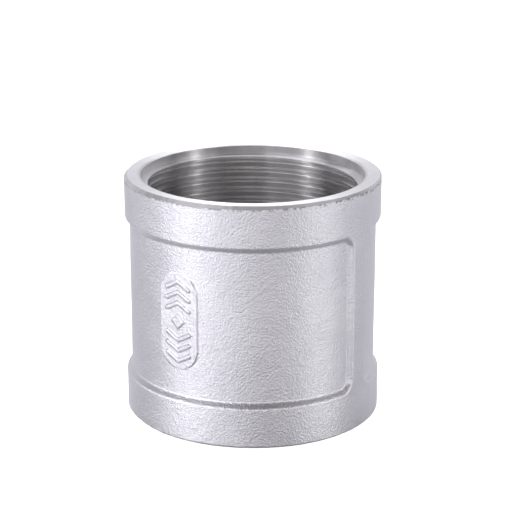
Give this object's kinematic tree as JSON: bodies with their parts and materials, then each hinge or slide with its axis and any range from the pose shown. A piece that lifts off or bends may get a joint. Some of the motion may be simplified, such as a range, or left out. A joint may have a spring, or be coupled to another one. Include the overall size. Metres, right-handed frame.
{
  "type": "pipe coupling",
  "caption": "Banded full pipe coupling in satin stainless steel: a short ribbed barrel, internally threaded from both ends to join two pipes end to end.",
  "frame": {"origin": "centre of the bore at mid-length", "axes": "+Z along the bore, out of the top mouth; the two longitudinal ribs are on +X and -X; the badge pad faces -Y"},
  "size_m": [0.0554, 0.0554, 0.0526],
  "materials": {
    "stainless": "satin cast stainless steel with machined ends, bore and threads"
  },
  "bodies": {
    "root": {"coupling_body": "stainless"}
  },
  "joints": []
}
